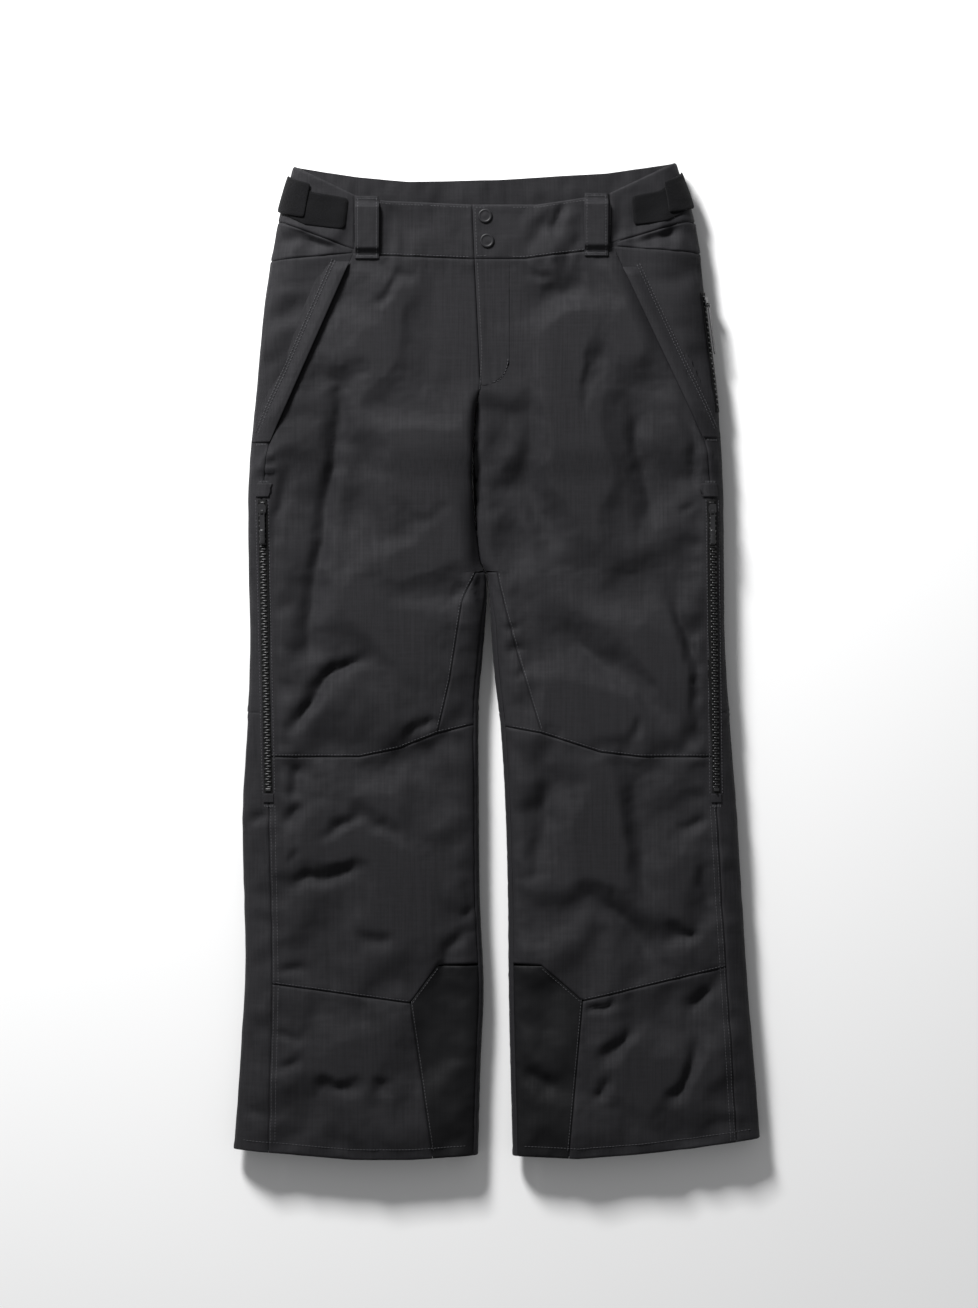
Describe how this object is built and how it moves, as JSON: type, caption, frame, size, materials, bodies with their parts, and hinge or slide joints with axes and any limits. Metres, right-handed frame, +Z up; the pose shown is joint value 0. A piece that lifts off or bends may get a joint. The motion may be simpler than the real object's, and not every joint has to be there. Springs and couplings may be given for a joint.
{
  "type": "ski pants",
  "caption": "Insulated ski trousers laid flat, with a snap fly flap, side vent zips, slanted hand pockets, waist tabs and knees that fold.",
  "frame": {"origin": "middle of the bottom of the garment's box as it lies flat on its back", "axes": "+Y toward the waist, +Z up from the surface it lies on, +X to the right of someone looking down at its front"},
  "size_m": [0.5546, 1.0502, 0.0409],
  "materials": {
    "shell_fabric": "matte charcoal woven shell with a fine ripstop grid",
    "scuff_fabric": "tighter, darker, slightly smoother abrasion cloth",
    "hook_and_loop": "brushed black loop pile and moulded hooks",
    "lining": "plain dark lining",
    "zip_chain": "coated coil zip on dark tape",
    "slider": "charcoal paint, semi-matte",
    "pull": "moulded pull, matte",
    "snap": "charcoal paint, matte, lightly worn rim"
  },
  "bodies": {
    "seat": {"back_knee_panel_left": "shell_fabric", "back_knee_panel_right": "shell_fabric", "back_thigh_panel_left": "shell_fabric", "back_thigh_panel_right": "shell_fabric", "back_yoke_left": "shell_fabric", "back_yoke_right": "shell_fabric", "belt_loop_left": "shell_fabric", "belt_loop_right": "shell_fabric", "fly_underlap": "lining", "fly_zip_chain": "zip_chain", "front_thigh_panel_left": "shell_fabric", "front_thigh_panel_right": "shell_fabric", "hand_pocket_bag_left": "lining", "hand_pocket_bag_right": "lining", "hand_pocket_flap_left": "shell_fabric", "hand_pocket_flap_right": "shell_fabric", "hand_pocket_zip_chain_left": "zip_chain", "hand_pocket_zip_chain_right": "zip_chain", "inner_thigh_gusset_left": "shell_fabric", "inner_thigh_gusset_right": "shell_fabric", "knee_panel_upper_left": "shell_fabric", "knee_panel_upper_right": "shell_fabric", "loop_patch_left": "hook_and_loop", "loop_patch_right": "hook_and_loop", "snap_stud_lower": "snap", "snap_stud_upper": "snap", "thigh_pocket_zip_chain": "zip_chain", "vent_zip_chain_left": "zip_chain", "vent_zip_chain_right": "zip_chain", "vent_zip_garage_left": "shell_fabric", "vent_zip_garage_right": "shell_fabric", "waistband_back": "shell_fabric", "waistband_front_left": "shell_fabric", "waistband_front_right": "shell_fabric"},
    "shin_left": {"knee_panel_lower_left": "shell_fabric", "shin_panel_left": "shell_fabric", "scuff_patch_left": "scuff_fabric", "back_calf_panel_left": "shell_fabric"},
    "shin_right": {"knee_panel_lower_right": "shell_fabric", "shin_panel_right": "shell_fabric", "scuff_patch_right": "scuff_fabric", "back_calf_panel_right": "shell_fabric"},
    "fly_flap": {"fly_cover": "shell_fabric", "waistband_overlap": "shell_fabric", "snap_cap_upper": "snap", "snap_cap_lower": "snap"},
    "fly_zip_slider": {"fly_slider": "slider"},
    "fly_zip_pull": {"fly_pull": "pull"},
    "vent_slider_left": {"vent_left_slider": "slider"},
    "vent_slider_right": {"vent_right_slider": "slider"},
    "vent_pull_left": {"vent_left_pull": "pull"},
    "vent_pull_right": {"vent_right_pull": "pull"},
    "hand_slider_left": {"hand_pocket_left_slider": "slider"},
    "hand_slider_right": {"hand_pocket_right_slider": "slider"},
    "hand_pull_left": {"hand_pocket_left_pull": "pull"},
    "hand_pull_right": {"hand_pocket_right_pull": "pull"},
    "thigh_slider": {"thigh_pocket_slider": "slider"},
    "thigh_pull": {"thigh_pocket_pull": "pull"},
    "waist_tab_left": {"hook_tab_left": "hook_and_loop"},
    "waist_tab_right": {"hook_tab_right": "hook_and_loop"}
  },
  "joints": [
    {"name": "knee_fold_left", "type": "hinge", "parent": "seat", "child": "shin_left", "pos_m": [-0.14, -0.15007, 0.0303], "axis": [-1, 0, 0], "range_deg": [0, 150]},
    {"name": "knee_fold_right", "type": "hinge", "parent": "seat", "child": "shin_right", "pos_m": [0.14, -0.15007, 0.0303], "axis": [-1, 0, 0], "range_deg": [0, 150]},
    {"name": "fly_flap_lift", "type": "hinge", "parent": "seat", "child": "fly_flap", "pos_m": [0.01273, 0.385, 0.034], "axis": [0, 1, 0], "range_deg": [0, 140]},
    {"name": "fly_zip_travel", "type": "slide", "parent": "seat", "child": "fly_zip_slider", "axis": [0, -1, 0], "range_m": [0, 0.08]},
    {"name": "fly_pull_swivel", "type": "hinge", "parent": "fly_zip_slider", "child": "fly_zip_pull", "pos_m": [-0.00827, 0.40673, 0.0314], "axis": [0, 0, 1], "range_deg": [-25, 25]},
    {"name": "vent_zip_travel_left", "type": "slide", "parent": "seat", "child": "vent_slider_left", "axis": [0.023, -0.9997, 0], "range_m": [0, 0.27]},
    {"name": "vent_pull_flip_left", "type": "hinge", "parent": "vent_slider_left", "child": "vent_pull_left", "pos_m": [-0.24692, 0.15674, 0.0341], "axis": [-0.9997, -0.023, 0], "range_deg": [0, 165]},
    {"name": "hand_zip_travel_left", "type": "slide", "parent": "seat", "child": "hand_slider_left", "axis": [-0.4044, -0.9146, 0], "range_m": [0, 0.12]},
    {"name": "hand_pull_swivel_left", "type": "hinge", "parent": "hand_slider_left", "child": "hand_pull_left", "pos_m": [-0.16892, 0.39913, 0.0381], "axis": [0, 0, 1], "range_deg": [0, 90]},
    {"name": "waist_tab_peel_left", "type": "hinge", "parent": "seat", "child": "waist_tab_left", "pos_m": [-0.22539, 0.49293, 0.01794], "axis": [-0.2745, -0.9616, 0], "range_deg": [0, 100]},
    {"name": "vent_zip_travel_right", "type": "slide", "parent": "seat", "child": "vent_slider_right", "axis": [0.0134, -0.9999, 0], "range_m": [0, 0.27]},
    {"name": "vent_pull_flip_right", "type": "hinge", "parent": "vent_slider_right", "child": "vent_pull_right", "pos_m": [0.22693, 0.15673, 0.0341], "axis": [-0.9999, -0.0134, 0], "range_deg": [0, 165]},
    {"name": "hand_zip_travel_right", "type": "slide", "parent": "seat", "child": "hand_slider_right", "axis": [0.4279, -0.9038, 0], "range_m": [0, 0.12]},
    {"name": "hand_pull_swivel_right", "type": "hinge", "parent": "hand_slider_right", "child": "hand_pull_right", "pos_m": [0.14658, 0.39448, 0.0381], "axis": [0, 0, -1], "range_deg": [0, 90]},
    {"name": "waist_tab_peel_right", "type": "hinge", "parent": "seat", "child": "waist_tab_right", "pos_m": [0.20144, 0.49693, 0.01794], "axis": [-0.3244, 0.9459, 0], "range_deg": [0, 100]},
    {"name": "thigh_zip_travel", "type": "slide", "parent": "seat", "child": "thigh_slider", "axis": [0.1258, -0.9921, 0], "range_m": [0, 0.085]},
    {"name": "thigh_pull_flip", "type": "hinge", "parent": "thigh_slider", "child": "thigh_pull", "pos_m": [0.22307, 0.37501, 0.02362], "axis": [-0.3088, -0.0391, 0.9503], "range_deg": [0, 165]}
  ]
}
